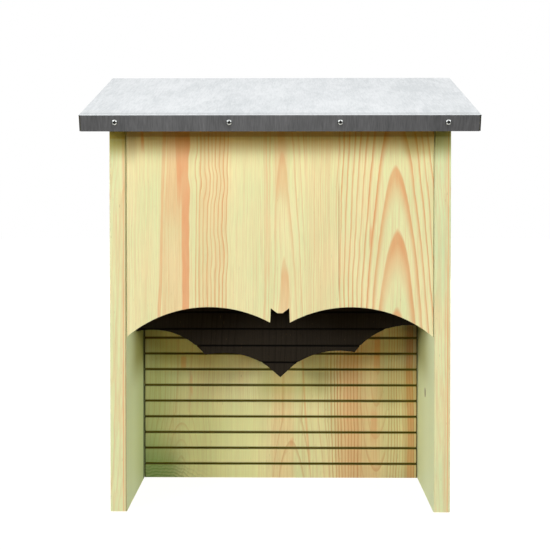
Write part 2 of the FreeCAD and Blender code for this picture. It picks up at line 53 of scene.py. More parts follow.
def addNode(tree, kind, *values, sockets=None, stops=None, **settings):
    # a value may be a number, a colour, a socket, or a node whose first output is meant
    node = tree.nodes.new("ShaderNode" + kind)
    for name, setting in settings.items():
        setattr(node, name, setting)
    for place, value in [*enumerate(values), *(sockets or {}).items()]:
        if isinstance(value, bpy.types.Node):
            value = value.outputs[0]
        if isinstance(value, bpy.types.NodeSocket):
            tree.links.new(value, node.inputs[place])
        else:
            node.inputs[place].default_value = value
    # a new ramp has two stops already
    for number, (position, grey) in enumerate(stops or []):
        elements = node.color_ramp.elements
        element = elements[number] if number < 2 else elements.new(position)
        element.position = position
        element.color = (grey, grey, grey, 1)
    return node


def maths(tree, operation, *values, **settings):
    return addNode(tree, "Math", *values, operation=operation, **settings)


def ranged(tree, value, source, target, **settings):
    # a value moved from one range into another
    return addNode(tree, "MapRange", value, *source, *target, **settings)


def eased(tree, value, source, target):
    return ranged(tree, value, source, target, interpolation_type="SMOOTHSTEP")


def band(tree, value, low, high, soft):
    # 1 between low and high, fading to 0 over soft on each side
    rise = eased(tree, value, (low - soft, low), (0.0, 1.0))
    fall = eased(tree, value, (high, high + soft), (1.0, 0.0))
    return maths(tree, "MULTIPLY", rise, fall)


def scaled(tree, vector, factor):
    return addNode(tree, "VectorMath", vector, operation="SCALE", sockets={"Scale": factor})


def lengthOf(tree, vector):
    return addNode(tree, "VectorMath", vector, operation="LENGTH").outputs["Value"]


def tinted(tree, share, colour, code):
    return addNode(tree, "MixRGB", share, colour, hexColour(code))


def sizedNoise(tree, spot, size, detail, seed=(0, 0, 0), rough=0.5):
    # noise whose spots are about this many mm long on each axis
    moved = addNode(tree, "Mapping", spot, sockets={
        "Scale": [1 / length for length in size], "Location": seed})
    return addNode(tree, "TexNoise", moved, sockets={
        "Scale": 1.0, "Detail": detail, "Roughness": rough})


def newMaterial(name):
    material = bpy.data.materials.new(name)
    material.use_nodes = True
    material.node_tree.nodes.clear()
    return material, material.node_tree


def placeInMillimetres(tree):
    # where a point is in the frame, in mm, and the way that its face looks
    place = addNode(tree, "TexCoord")
    return scaled(tree, place.outputs["Object"], 1 / millimetre), place.outputs["Normal"]


def closeMaterial(tree, colour, roughness, height, relief, shader):
    # the shader's own sockets take what is the same all over; only patterns are linked
    bump = addNode(tree, "Bump", sockets={
        "Height": height, "Strength": relief["strength"], "Distance": relief["depth"]})
    surface = addNode(tree, "BsdfPrincipled", sockets={
        "Base Color": colour, "Roughness": roughness, "Normal": bump, **shader})
    addNode(tree, "OutputMaterial", surface)


# Wood. A board is seen as staves side by side, each with its own growth rings.

# the pine's patterns: mm across the grain, mm along it, seed and detail
pinePatterns = {
    "drift": (45, 150, 3.1, 1.0),     # slow sway of the rings
    "ripple": (9, 26, 7.7, 2.0),      # their small wobble
    "swell": (14, 90, 12.3, 1.0),     # stretches where they are strong or faint
    "mottle": (7, 38, 21.0, 3.0),     # patches in the peach marks
    "cast": (30, 75, 31.0, 2.0),      # pools of green preservative
    "fibre": (0.55, 16, 41.0, 2.0),   # open fibres
    "ducts": (0.9, 6, 53.0, 0.0),     # resin ducts, wider than real ones so that they show
}
# how far or how strongly they act
pineLooks = {
    "sway": 2.2, "wobble": 0.45, "dip": -0.2,   # mm that drift and ripple move the rings
    "swell": (0.72, 1.15), "mottle": (0.75, 1.12), "fibre": (0.94, 1.045),
    "ducts": (1.15, 1.4), "ductColour": "6E5A34",
    "hairsPerMm": (1.05, 0.4, 0.011), "hairDetail": 1.5, "hairs": (0.45, 0.68),
    "blend": 2.0, "skinSoft": 0.5,              # soft borders of staves and depths, mm
    "unevenRun": 4, "unevenDetail": 1.0,        # rings over which their spacing varies
    "flatFace": (0.3, 0.8), "endFace": (0.25, 0.6), "endShare": 0.5,
    "roughSpread": 0.06, "ringHeight": 0.5, "reliefDepth": 0.0002, "refraction": 1.5,
}
# what a stave or a mark has unless it says otherwise
plainStave = {
    "level": 0, "lean": (0, 0), "uneven": 0.5, "first": 0, "least": 0.45, "width": 0.45}
plainMark = {"lean": 0, "level": 0, "soft": 0.8, "crisp": 1}
# how dark a ring is on its way through the year; a ramp's two ends come first
ringProfile = [(0.0, 0.0), (1.0, 0.0), (0.45, 0.6), (0.72, 1.0), (0.88, 1.0)]
# shares of a knot's radius, wobble in mm, and the two colours of its cut branch
knotLooks = {
    "uneven": 0.16, "bend": 0.6, "core": 0.75, "halo": 2, "haloWobble": 1.1,
    "haloLine": (0.45, 0.9), "ringWobble": 0.35, "ringPitch": 1.1,
    "dark": "4A3318", "light": "8A6A3C",
}


def woodNoise(tree, spot, axes, pattern):
    # noise in -1..1, drawn out along the grain
    wide, long, seed, detail = pinePatterns[pattern]
    size = [wide] * 3
    size[axes[2]] = long
    noise = sizedNoise(tree, spot, size, detail, [seed] * 3)
    return ranged(tree, noise, noiseRange, (-1.0, 1.0), clamp=False)


def leaning(tree, value, along, at, lean, level):
    # distance of a value from a line that leans along the grain, passing at by level
    line = maths(tree, "MULTIPLY_ADD", along, lean, at - lean * level)
    return maths(tree, "SUBTRACT", value, line)


def growthRings(tree, across, through, along, stave):
    # latewood lines of one stave, sawn from a log whose heart runs beside the board
    stave = {**plainStave, **stave}
    heart, lean, level = stave["heart"], stave["lean"], stave["level"]
    aside = leaning(tree, across, along, heart[0], lean[0], level)
    if "top" in stave:
        # above this the log ran straight
        along = maths(tree, "MINIMUM", along, stave["top"])
    behind = leaning(tree, through, along, heart[1], lean[1], level)
    radius = lengthOf(tree, addNode(tree, "CombineXYZ", aside, behind, 0.0))
    if "point" in stave:
        # draws the tips of the arches to a point
        wing = maths(tree, "ABSOLUTE", aside)
        radius = maths(tree, "MULTIPLY_ADD", wing, stave["point"], radius)
    uneven = addNode(tree, "TexNoise", noise_dimensions="1D", sockets={
        "W": radius, "Scale": 1 / (pineLooks["unevenRun"] * stave["rings"]),
        "Detail": pineLooks["unevenDetail"]})
    uneven = ranged(tree, uneven, noiseRange, (-stave["uneven"], stave["uneven"]), clamp=False)
    count = maths(tree, "ADD", radius, -stave["first"])
    count = maths(tree, "MULTIPLY_ADD", count, 1 / stave["rings"], uneven)
    number = maths(tree, "FLOOR", count)
    season = maths(tree, "FRACT", count)
    year = addNode(tree, "TexWhiteNoise", noise_dimensions="1D", sockets={"W": number})
    faintest = stave["late"] * stave["least"]
    year = ranged(tree, year.outputs["Value"], (0.0, 1.0), (faintest, stave["late"]))
    # earlywood darkens slowly into latewood, which ends sharply where the next spring starts
    width = stave["width"]
    if "narrows" in stave:
        near, far, wide, thin = stave["narrows"]
        width = ranged(tree, radius, (near, far), (wide, thin))
    season = maths(tree, "SUBTRACT", season, 1.0)
    season = maths(tree, "DIVIDE", season, width)
    season = maths(tree, "ADD", season, 1.0, use_clamp=True)
    line = addNode(tree, "ValToRGB", season, stops=ringProfile)
    return maths(tree, "MULTIPLY", line, year)


def boardRings(tree, across, through, along, staves):
    lines = growthRings(tree, across, through, along, staves[0])
    for stave in staves[1:]:
        rings = growthRings(tree, across, through, along, stave)
        start = maths(tree, "SUBTRACT", across, stave["from"])
        share = eased(tree, start, (-pineLooks["blend"], pineLooks["blend"]), (0.0, 1.0))
        change = maths(tree, "SUBTRACT", rings, lines)
        lines = maths(tree, "MULTIPLY_ADD", change, share, lines)
    return lines


def fineHairs(tree, across, through, along, strength):
    # between the marked rings run hair-fine, fainter ones
    hairs = addNode(tree, "CombineXYZ", across, through, along)
    hairs = addNode(tree, "Mapping", hairs, sockets={"Scale": pineLooks["hairsPerMm"]})
    hairs = addNode(tree, "TexNoise", hairs, sockets={
        "Scale": 1.0, "Detail": pineLooks["hairDetail"]})
    return ranged(tree, hairs, pineLooks["hairs"], (0.0, strength))


def knotDistance(tree, across, along, ripple, knot):
    # distance from a knot's middle, made uneven; long is its length along the grain
    side = maths(tree, "ADD", across, -knot["at"][0])
    up = maths(tree, "ADD", along, -knot["at"][1])
    up = maths(tree, "MULTIPLY", up, 1 / knot["long"])
    far = lengthOf(tree, addNode(tree, "CombineXYZ", side, up, 0.0))
    return maths(tree, "MULTIPLY_ADD", ripple, knot["radius"] * knotLooks["uneven"], far)


def knotHalo(tree, far, ripple, knot):
    # rings of the branch show for a way round it
    ring = maths(tree, "MULTIPLY_ADD", ripple, knotLooks["haloWobble"], far)
    ring = maths(tree, "FLOORED_MODULO", ring, knot["rings"])
    ring = ranged(tree, ring, [knot["rings"] * part for part in knotLooks["haloLine"]], (0.0, 1.0))
    reach = (knot["radius"] * knotLooks["halo"], knot["radius"] * knot["reach"])
    near = eased(tree, far, reach, (knot["ringAmount"], 0.0))
    return maths(tree, "MULTIPLY", ring, near)


def knotCore(tree, far, ripple, knot):
    # where its branch was cut across, and the tight dark rings there
    inner = knot["radius"] * knotLooks["core"]
    core = eased(tree, far, (inner, knot["radius"]), (knot["dark"], 0.0))
    rings = maths(tree, "MULTIPLY_ADD", ripple, knotLooks["ringWobble"], far)
    rings = maths(tree, "PINGPONG", rings, knotLooks["ringPitch"])
    tone = tinted(tree, rings, hexColour(knotLooks["dark"]), knotLooks["light"])
    return core, tone


def peachMarks(tree, across, through, along, marks):
    # broad warm streaks beside and between the rings
    stain = 0.0
    for mark in ({**plainMark, **mark} for mark in marks):
        value = through if "edge" in mark else across
        off = leaning(tree, value, along, mark["at"], mark["lean"], mark["level"])
        half, soft = mark["half"], mark["soft"]
        core = band(tree, off, -half + soft, half - soft * mark["crisp"], soft)
        if "run" in mark:
            core = maths(tree, "MULTIPLY", core, band(tree, along, *mark["run"]))
        core = maths(tree, "MULTIPLY", core, mark["tone"])
        stain = maths(tree, "MAXIMUM", stain, core)
    return stain


def shadePlace(tree, parts, depth, along, shade):
    # how much of a shade's colour a point takes
    where = band(tree, parts[shade["axis"]], *shade["span"], shade["soft"])
    if "skin" in shade:
        skin = band(tree, depth, *shade["skin"], pineLooks["skinSoft"])
        where = maths(tree, "MULTIPLY", where, skin)
    if "run" in shade:
        where = maths(tree, "MULTIPLY", where, band(tree, along, *shade["run"]))
    if "pitch" in shade:
        # only in the saw grooves
        step = maths(tree, "ADD", along, -shade["first"])
        step = maths(tree, "FLOORED_MODULO", step, shade["pitch"])
        groove = maths(tree, "LESS_THAN", step, shade["width"])
        where = maths(tree, "MULTIPLY", where, groove)
    return maths(tree, "MULTIPLY", where, shade["amount"])


def pineMaterial(name, board):
    # Pressure-treated pine, planed: pale yellow earlywood, orange latewood lines that swell
    # and thin, a copper-green cast that pools unevenly, open fibres and a dull surface.
    material, tree = newMaterial(name)
    axes = board["axes"]
    spot, normal = placeInMillimetres(tree)
    if "turn" in board:
        spot = addNode(tree, "VectorRotate", spot, rotation_type="X_AXIS",
                       sockets={"Angle": math.radians(board["turn"])})
    parts = addNode(tree, "SeparateXYZ", spot).outputs
    faces = addNode(tree, "SeparateXYZ", normal).outputs
    straight, depth, along = (parts[axis] for axis in axes)
    drift = woodNoise(tree, spot, axes, "drift")
    ripple = woodNoise(tree, spot, axes, "ripple")
    across = maths(tree, "MULTIPLY_ADD", drift, pineLooks["sway"], straight)
    across = maths(tree, "MULTIPLY_ADD", ripple, pineLooks["wobble"], across)
    through = maths(tree, "MULTIPLY_ADD", drift, pineLooks["dip"], depth)
    halos, cores = [], []
    for knot in board["knots"]:
        # the grain parts round a knot
        far = knotDistance(tree, straight, along, ripple, knot)
        reach = (knot["radius"] * knotLooks["bend"], knot["radius"] * knot["reach"])
        push = ranged(tree, far, reach, (1.0, 0.0), interpolation_type="SMOOTHERSTEP")
        push = maths(tree, "MULTIPLY", push, knot["push"])
        across = maths(tree, "ADD", across, push)
        if "rings" in knot:
            halos.append((knotHalo(tree, far, ripple, knot), knot["ringColour"]))
        if "dark" in knot:
            cores.append(knotCore(tree, far, ripple, knot))

    lines = boardRings(tree, across, through, along, board["staves"])
    hairs = fineHairs(tree, across, through, along, board["hairs"])
    lines = maths(tree, "MAXIMUM", lines, hairs)
    swell = woodNoise(tree, spot, axes, "swell")
    swell = ranged(tree, swell, (-1.0, 1.0), pineLooks["swell"])
    lines = maths(tree, "MULTIPLY", lines, swell, use_clamp=True)
    if "broadLines" in board:
        facing = maths(tree, "ABSOLUTE", faces[axes[1]])
        facing = ranged(tree, facing, pineLooks["flatFace"], (1.0, board["broadLines"]))
        lines = maths(tree, "MULTIPLY", lines, facing, use_clamp=True)

    cast = woodNoise(tree, spot, axes, "cast")
    cast = ranged(tree, cast, (-1.0, 1.0), board["green"])
    colour = tinted(tree, cast, hexColour(board["pale"]), board["cast"])
    if "marks" in board:
        stain = peachMarks(tree, across, through, along, board["marks"])
        mottle = woodNoise(tree, spot, axes, "mottle")
        mottle = ranged(tree, mottle, (-1.0, 1.0), pineLooks["mottle"])
        stain = maths(tree, "MULTIPLY", stain, mottle, use_clamp=True)
        colour = tinted(tree, stain, colour, board["peach"])
    colour = tinted(tree, lines, colour, board["lateColour"])
    fibre = woodNoise(tree, spot, axes, "fibre")
    tone = ranged(tree, fibre, (-1.0, 1.0), pineLooks["fibre"])
    colour = scaled(tree, colour, tone)
    # resin ducts: short dark dashes
    ducts = woodNoise(tree, spot, axes, "ducts")
    ducts = ranged(tree, ducts, pineLooks["ducts"], (0.0, board["ducts"]))
    colour = tinted(tree, ducts, colour, pineLooks["ductColour"])
    for ring, code in halos:
        colour = tinted(tree, ring, colour, code)

    # sawn ends across the grain drink more preservative, and are darker
    endFace = maths(tree, "ABSOLUTE", faces[axes[2]])
    endFace = ranged(tree, endFace, pineLooks["endFace"], (0.0, pineLooks["endShare"]))
    endTone = addNode(tree, "MixRGB", 1.0, colour, hexColour(board["endTint"]),
                      blend_type="MULTIPLY")
    colour = addNode(tree, "MixRGB", endFace, colour, endTone)
    # tones by place, among them painted shade, painted shadow and painted light
    for shade in board["shades"]:
        where = shadePlace(tree, parts, depth, along, shade)
        colour = tinted(tree, where, colour, shade["colour"])
    for core, tone in cores:
        colour = addNode(tree, "MixRGB", core, colour, tone)

    spread = pineLooks["roughSpread"]
    roughness = ranged(tree, fibre, (-1.0, 1.0), (board["rough"] - spread, board["rough"] + spread))
    height = maths(tree, "MULTIPLY_ADD", lines, pineLooks["ringHeight"], fibre)
    closeMaterial(tree, colour, roughness, height,
                  {"strength": board["relief"], "depth": pineLooks["reliefDepth"]},
                  {"IOR": pineLooks["refraction"], "Specular IOR Level": board["shine"]})
    return material


# Keys of a board, lengths in mm:
# axes: which of x, y and z runs across the grain, through the board and along the grain.
# staves: each starts at "from"; its heart lies beside the board by "level" and leans along
#   the grain; rings apart, the first one's radius, darkest and least latewood, line width.
# marks: streaks with a middle, half width and tone; run: from, to and fade along the grain;
#   edge: drawn through the board, so that it shows on the board's edge.
# shades: tones by place, for painted shade and shadow, painted light, resin and preservative:
#   span on an axis, soft border, run as above, and skin, the depths of the board that take it.
plainPine = {
    "axes": (0, 1, 2), "pale": "EEE8B5", "cast": "DCE5B1", "green": (0.0, 0.75),
    "peach": "E8B485", "lateColour": "DCA26F", "endTint": "C9BE86", "rough": 0.62,
    "relief": 0.25, "shine": 0.25, "hairs": 0.3, "ducts": 0.3, "knots": [],
}


def shadeAt(axis, span, soft, colour, amount, **more):
    return {"axis": axis, "span": span, "soft": soft, "colour": colour, "amount": amount, **more}


frontPanel = {
    **plainPine,
    "cast": "DCE5B0", "green": (-0.1, 0.95), "peach": "E4AC7D", "ducts": 0.15,
    "staves": [
        {"heart": (-230, -7), "rings": 1.9, "late": 0.3},
        {"from": -83, "heart": (-330, 0), "rings": 3.72, "first": 0.4, "late": 0.95,
         "least": 0.7, "uneven": 0.12, "width": 0.5},
        {"from": -49, "heart": (-330, 0), "rings": 2.0, "late": 0.24},
        {"from": -18, "heart": (1.5, -26.8), "lean": (-0.02, 0.03), "level": 361,
         "rings": 3.3, "first": 20, "late": 0.65, "least": 0.6, "uneven": 0.1,
         "point": 0.03, "narrows": (18, 22, 0.5, 0.34)},
        {"from": 24, "heart": (190, 10), "rings": 2.15, "late": 0.5, "uneven": 0.3},
        {"from": 56, "heart": (111.4, 1.0), "lean": (-0.016, 0.05), "level": 334.4,
         "rings": 3.3, "first": 41.2, "late": 0.95, "least": 0.8, "uneven": 0.14,
         "point": 0.03, "narrows": (47.9, 50.5, 0.72, 0.42)},
    ],
    "marks": [
        {"at": -132.8, "half": 1.7, "run": (362, 400, 16), "tone": 0.9},
        {"at": -114.2, "half": 1.9, "lean": 0.018, "level": 340, "tone": 0.62},
        {"at": -102.5, "half": 12.5, "soft": 3, "tone": 0.3},
        {"at": -101.5, "half": 12, "run": (300, 400, 60), "soft": 3, "tone": 0.5},
        {"at": -92.0, "half": 3.6, "lean": -0.004, "level": 300, "tone": 1, "crisp": 0.3},
        {"at": -97.6, "half": 5.8, "lean": -0.055, "level": 350, "run": (318, 400, 50),
         "tone": 0.95, "soft": 1.6},
        {"at": -65, "half": 15.5, "soft": 3, "tone": 0.18},
        {"at": -13.6, "half": 1.3, "lean": 0.014, "level": 300, "tone": 0.4},
        {"at": 4.5, "half": 5.0, "run": (180, 228, 14), "tone": 0.5, "soft": 2},
        {"at": 1.5, "half": 4.5, "run": (345, 400, 30), "tone": 0.5, "soft": 2},
        {"at": 38, "half": 17, "soft": 6, "tone": 0.08},
        {"at": 112, "half": 2.0, "run": (322, 328, 12), "tone": 0.4, "soft": 2},
        {"at": 0.5, "half": 8.5, "run": (322, 350, 30), "tone": 0.38, "soft": 5},
        {"at": -12.4, "half": 0.8, "run": (240, 350, 25), "tone": 0.6, "soft": 0.9},
        {"at": 88.3, "half": 1.6, "run": (262, 272, 10), "tone": 0.7, "soft": 1},
    ],
    "knots": [
        # the grain only sways here: no core shows
        {"at": (-64, 318), "radius": 7, "reach": 2.6, "long": 1.2, "push": -2.4},
        {"at": (-60, 250), "radius": 7, "reach": 2.6, "long": 1.4, "push": -1.5},
        {"at": (-86, 334), "radius": 5, "reach": 2.4, "long": 2.0, "push": 2.0},
    ],
    "shades": [
        # painted shade in the joints at both ends
        shadeAt(0, (-150, -148.2), 0.3, "5A5326", 0.3),
        shadeAt(0, (148.3, 150), 0.2, "6E6638", 0.5),
        # a resin streak
        shadeAt(0, (56.7, 57.2), 0.4, "B04A14", 0.6, run=(225, 306, 20)),
        # painted shadow of the roof along the top, deeper towards both ends
        shadeAt(2, (358, 390), 14, "B88C10", 0.25),
        shadeAt(2, (365.3, 390), 2, "A46E00", 0.64),
        shadeAt(0, (-150, -143), 8, "94865A", 0.4, run=(352, 400, 20)),
        shadeAt(0, (125, 150), 10, "A49438", 0.32, run=(352, 400, 12)),
    ],
}

# the saw grooves are darkened with painted shade, and their fuzzy edge on the face is darker and
# greener, partly painted shade
kerf = {"pitch": 17.2, "width": 2.0}
kerfEdge = {"pitch": 17.2, "width": 3.2}
kerfFirst = 14.4      # from a panel's foot to its lowest groove
middleFoot = 120.7    # height of the middle panel's foot
backFace = (80, 88)   # the back panel's front face, without the floors of its grooves


def shadedEndLines(halfWidth, wide, soft, colour, amount):
    # the same dark line of painted shade at both ends of a level board
    spans = ((-halfWidth, wide - halfWidth), (halfWidth - wide, halfWidth))
    return [shadeAt(0, span, soft, colour, amount) for span in spans]


backPanel = {
    **plainPine,
    "pale": "F2EAB0", "cast": "DCE2A8", "green": (-0.1, 0.9), "peach": "EAB680",
    "lateColour": "C98348", "hairs": 0.2,
    "staves": [
        {"heart": (-106, 96), "lean": (0.03, 0.245), "level": 62, "top": 72, "rings": 4.4,
         "first": 1.6, "late": 0.36, "least": 0.6, "uneven": 0.1, "width": 0.3},
        {"from": -72, "heart": (-260, 90), "rings": 3.3, "late": 0.2, "width": 0.3},
        {"from": -16, "heart": (12.8, 103), "lean": (0.02, 0.13), "level": 42, "top": 62,
         "rings": 5.5, "first": 5.35, "late": 0.45, "uneven": 0.06, "width": 0.26},
        {"from": 52, "heart": (190, 100), "rings": 3.4, "late": 1.0, "least": 0.75,
         "uneven": 0.2},
        {"from": 88, "heart": (103.9, 94.3), "lean": (0, -0.155), "level": 41, "rings": 5.5,
         "first": 2.1, "late": 0.45, "least": 0.6, "uneven": 0.05, "width": 0.28},
        {"from": 114, "heart": (10, 100), "rings": 3.1, "late": 0.85, "uneven": 0.2},
    ],
    "marks": [
        {"at": 2, "half": 17, "soft": 8, "tone": 0.3},
        {"at": 13, "half": 3.2, "run": (36, 41, 7), "tone": 0.6, "soft": 2},
        {"at": 27, "half": 1.4, "lean": -0.07, "level": 90, "run": (30, 180, 30), "tone": 0.6},
        {"at": 74, "half": 17, "soft": 6, "tone": 0.25},
        {"at": 77, "half": 9, "run": (20, 150, 30), "soft": 4, "tone": 0.42},
        {"at": 103, "half": 4, "run": (126, 150, 14), "tone": 0.95, "soft": 2},
        {"at": 102, "half": 5, "run": (52, 62, 20), "tone": 0.6, "soft": 3},
        {"at": 141, "half": 4.6, "tone": 0.75, "soft": 1.5},
        {"at": -105, "half": 4, "run": (122, 130, 6), "tone": 0.8, "soft": 2},
        {"at": -96, "half": 1.6, "run": (95, 108, 8), "tone": 0.5, "soft": 1},
    ],
    "knots": [
        {"at": (-134, -20), "radius": 14, "reach": 5.4, "long": 0.62, "push": 12,
         "dark": 0.6, "rings": 5.4, "ringColour": "46632B", "ringAmount": 0.7},
    ],
    "shades": [
        # greener round the knot at the bottom left, with painted shade darkening it there; browner
        # towards the right end
        shadeAt(0, (-170, -140), 45, "66963E", 0.42),
        shadeAt(0, (-170, -132), 55, "4E8434", 0.5, run=(-50, 8, 50)),
        shadeAt(0, (128, 170), 45, "B98A45", 0.15),
        shadeAt(0, (137, 170), 5, "B07C36", 0.3),
        # painted light: lighter low down, left of the middle
        shadeAt(0, (-95, -35), 25, "F2FFB4", 0.4, run=(0, 55, 45), skin=backFace),
        # painted shadow below the middle panel's tail and wing tip, and painted shade lower down on
        # the right
        shadeAt(0, (-12, 38), 30, "868510", 0.4, run=(104, 109, 34), skin=backFace),
        shadeAt(0, (137, 170), 16, "3A2A08", 0.32, run=(140, 200, 50), skin=backFace),
        shadeAt(0, (108, 150), 12, "9A7A20", 0.28, run=(90, 116, 16), skin=backFace),
        # painted light under the bat's wings, in patches lower down, and in a streak on the right
        # that is also more peach
        shadeAt(0, (-126, 102), 10, "FFF08C", 0.15, run=(119, 200, 6), skin=backFace),
        shadeAt(0, (108, 130), 8, "FFD890", 0.11, run=(138, 200, 8), skin=backFace),
        shadeAt(0, (-50, -28), 12, "FFF0B4", 0.2, run=(24, 58, 20), skin=backFace),
        shadeAt(0, (-92, -64), 8, "FFFFB0", 0.09, skin=backFace),
        shadeAt(0, (72, 100), 16, "FFC08A", 0.3, skin=backFace),
        # painted shade in the pockets behind the keyholes
        shadeAt(1, (86, 95.4), 0.6, "2A2410", 0.8, run=(331, 379, 0.5)),
        # painted shade in the saw grooves, and a darker, greener edge round them
        shadeAt(1, (81, 81.5), 0.25, "6E6A00", 0.55, **kerfEdge, first=kerfFirst - 0.6),
        shadeAt(1, (81, 85), 0.25, "5A5400", 1, **kerf, first=kerfFirst),
        # painted shade in the joints at both ends
        *shadedEndLines(150, 2.1, 0.3, "23260C", 0.9),
    ],
}

# Black-brown spirit stain on the same pine: the grain only just shows through, matt
middlePanel = {
    **plainPine,
    "pale": "28231C", "cast": "231F19", "lateColour": "1C1813", "endTint": "B0A890",
    "rough": 0.85, "relief": 0.4, "shine": 0.06,
    "staves": [
        {"heart": (-40, 60), "lean": (0.05, 0.02), "rings": 3.4, "late": 0.8},
        {"from": 20, "heart": (160, 50), "rings": 2.8, "late": 0.8},
    ],
    "shades": [
        # painted shade in the saw grooves
        shadeAt(1, (17, 21), 0.25, "0A0906", 0.9, **kerf, first=middleFoot + kerfFirst),
    ],
}

# Side boards, flat-sawn, so the growth rings show as fine lines on the front edge
leftLook = {
    "cast": "D5E3B0", "heart": (40, -118), "lean": (0.02, 0.006), "knots": [],
    "lines": (-152.2, -150.0), "lineHalf": 0.8, "lineLean": 0.002,
    "inside": (-149.3, -148), "insideColour": "F2FFCA", "deep": 0.33, "high": 0.72,
    "backJoint": 0.65, "frontJoint": (-149.9, -149), "frontJointAmount": 0.55,
    "underRoof": "8A8100", "underAmount": 0.72, "shadow": "9A8000", "shadowFrom": 363.4,
}
rightLook = {
    "cast": "D1E2B2", "heart": (5, 118), "lean": (0.02, -0.006),
    "knots": [{"at": (18, 105), "radius": 4.6, "reach": 3.8, "long": 1.3, "push": 6,
               "dark": 0.85}],
    "lines": (162.4, 160.2), "lineHalf": 0.9, "lineLean": 0.0,
    "inside": (148, 149.3), "insideColour": "F5FFD0", "deep": 0.22, "high": 0.56,
    "backJoint": 0.1, "frontJoint": (149, 149.5), "frontJointAmount": 0.2,
    "underRoof": "707500", "underAmount": 0.64, "shadow": "786F00", "shadowFrom": 365.3,
}


def sideBoard(look):
    inside = look["inside"]
    edge = (1, (-48, -46.4), 0.4)   # the front edge, as axis, span and soft border
    return {
        **plainPine,
        "axes": (1, 0, 2), "cast": look["cast"], "green": (0.15, 1.0), "broadLines": 1.8,
        "staves": [
            {"heart": look["heart"], "lean": look["lean"], "level": 150,
             "rings": 2.2, "late": 0.36, "uneven": 0.3},
        ],
        "marks": [
            {"edge": True, "at": look["lines"][0], "half": look["lineHalf"], "soft": 0.4,
             "tone": 0.75, "lean": look["lineLean"]},
            {"edge": True, "at": look["lines"][1], "half": 0.6, "soft": 0.3, "tone": 0.45},
        ],
        "knots": look["knots"],
        "shades": [
            # inner faces: greener, and painted lighter as painted light; painted shade far in and
            # high up, and in the joint with the back panel
            shadeAt(0, inside, 0.4, look["insideColour"], 0.93),
            shadeAt(1, (70, 100), 78, "91A010", look["deep"], skin=inside),
            shadeAt(1, (35, 100), 75, "96902A", look["high"], skin=inside, run=(142, 400, 38)),
            shadeAt(1, (73, 82), 3, "23260C", look["backJoint"], skin=inside),
            # painted shadow of the roof on the front edges, and painted shade in the joint with the
            # front panel
            shadeAt(*edge, look["underRoof"], look["underAmount"], run=(360, 400, 22)),
            shadeAt(*edge, look["shadow"], 0.58, run=(look["shadowFrom"], 400, 2)),
            shadeAt(*edge, "6A6030", look["frontJointAmount"], skin=look["frontJoint"]),
        ],
    }


roofBoard = {
    **plainPine, "axes": (1, 2, 0), "turn": -16, "green": (0.2, 1.0),
    "staves": [
        {"heart": (40, 330), "rings": 3.1, "late": 0.6},
    ],
    # painted shade at both ends, where the board shows through the corners of the sheet
    "shades": shadedEndLines(186, 2, 0.4, "1C1A14", 0.9),
}

woods = {
    "front_panel": pineMaterial("treated_pine_front", frontPanel),
    "back_panel": pineMaterial("treated_pine_back", backPanel),
    "middle_panel": pineMaterial("black_stained_pine", middlePanel),
    "left_side": pineMaterial("treated_pine_left", sideBoard(leftLook)),
    "right_side": pineMaterial("treated_pine_right", sideBoard(rightLook)),
    "roof_board": pineMaterial("treated_pine_roof", roofBoard),
}
print("wood ready:", len(woods), "boards")


# Galvanised roof sheet: hot-dip zinc, faint spangle on the pale top; the folded lips are
# painted darker as painted shade, with fine marks from the folding bar across them.
roofSheet = {
    # where it lies: degrees, then mm; fold is where the lip turns into the top
    "slope": 16, "foldHeight": 380, "frontFace": -46.774, "eaves": 48.3, "halfWidth": 185,
    "fold": (14.75, 15.25),
    "top": "E2E5E7", "topDull": "CACED0", "run": 190, "backDimming": 0.95,
    # the lips' dark grey is painted shade, the lighter grey their worn marks
    "lip": "424344", "lipWorn": "69696B",
    # the rolling direction runs down the slope, and stretches spangle and specks along it
    "spangle": 5.0, "stretch": 0.3, "spangleShare": 0.2, "cloudShare": 1.1,
    "speck": {"size": (1.5, 13, 1.5), "detail": 3.0, "rough": 0.65},
    "cloud": {"size": (34, 75, 34), "detail": 4.0, "seed": (0.4, 0.1, 0), "rough": 0.6},
    "mottle": (0.88, 1.42),
    "brush": {"size": (1.0, 1.0, 10), "detail": 3.0}, "brushRange": (0.3, 0.75),
    "patches": {"size": (14, 14, 60), "detail": 2.0}, "brushShare": 0.45, "patchShare": 0.55,
    # the lip is darker towards its ends: x in mm, and brightness there
    "leftEnd": ((-190, -120), (0.8, 1.0)), "rightEnd": ((20, 150), (1.0, 0.8)),
    "paintedShade": {"reach": 6.5, "drop": 3.0, "amount": 0.45, "colour": "2B2A28"},
    "crease": {"back": 4.2, "half": 2.4, "soft": 2.2, "amount": 0.34, "colour": "A3A8A8"},
    "corner": {"wide": (1.6, 1.2), "back": (2, 4), "colour": "191918"},
    "roughTop": (0.52, 0.4), "roughLip": 0.45, "roughBrush": 0.1,
    "relief": {"strength": 0.12, "depth": 0.0002},
}
slopeBack = math.radians(roofSheet["slope"])
lipOut = Vector((0, -math.cos(slopeBack), -math.sin(slopeBack)))
roofUp = Vector((0, -math.sin(slopeBack), math.cos(slopeBack)))
sideOut = Vector((1, 0, 0))
backOut = Vector((0, 1, 0))


def screwPlaces(node, outward):
    # where each plain screw of a group has its axis and the top of its head
    mesh = bmesh.new()
    mesh.from_mesh(node.data)
    bmesh.ops.remove_doubles(mesh, verts=mesh.verts, dist=1e-6)
    waiting = set(mesh.verts)
    places = []
    while waiting:
        group, edge = set(), [waiting.pop()]
        while edge:
            vertex = edge.pop()
            group.add(vertex)
            fresh = {e.other_vert(vertex) for e in vertex.link_edges} & waiting
            waiting -= fresh
            edge.extend(fresh)
        middle = sum((v.co for v in group), Vector()) / len(group)
        reach = max((v.co - middle).dot(outward) for v in group)
        places.append(middle + outward * reach)
    mesh.free()
    return sorted(places, key=lambda p: (round(p.x, 4), round(p.y, 4), p.z))


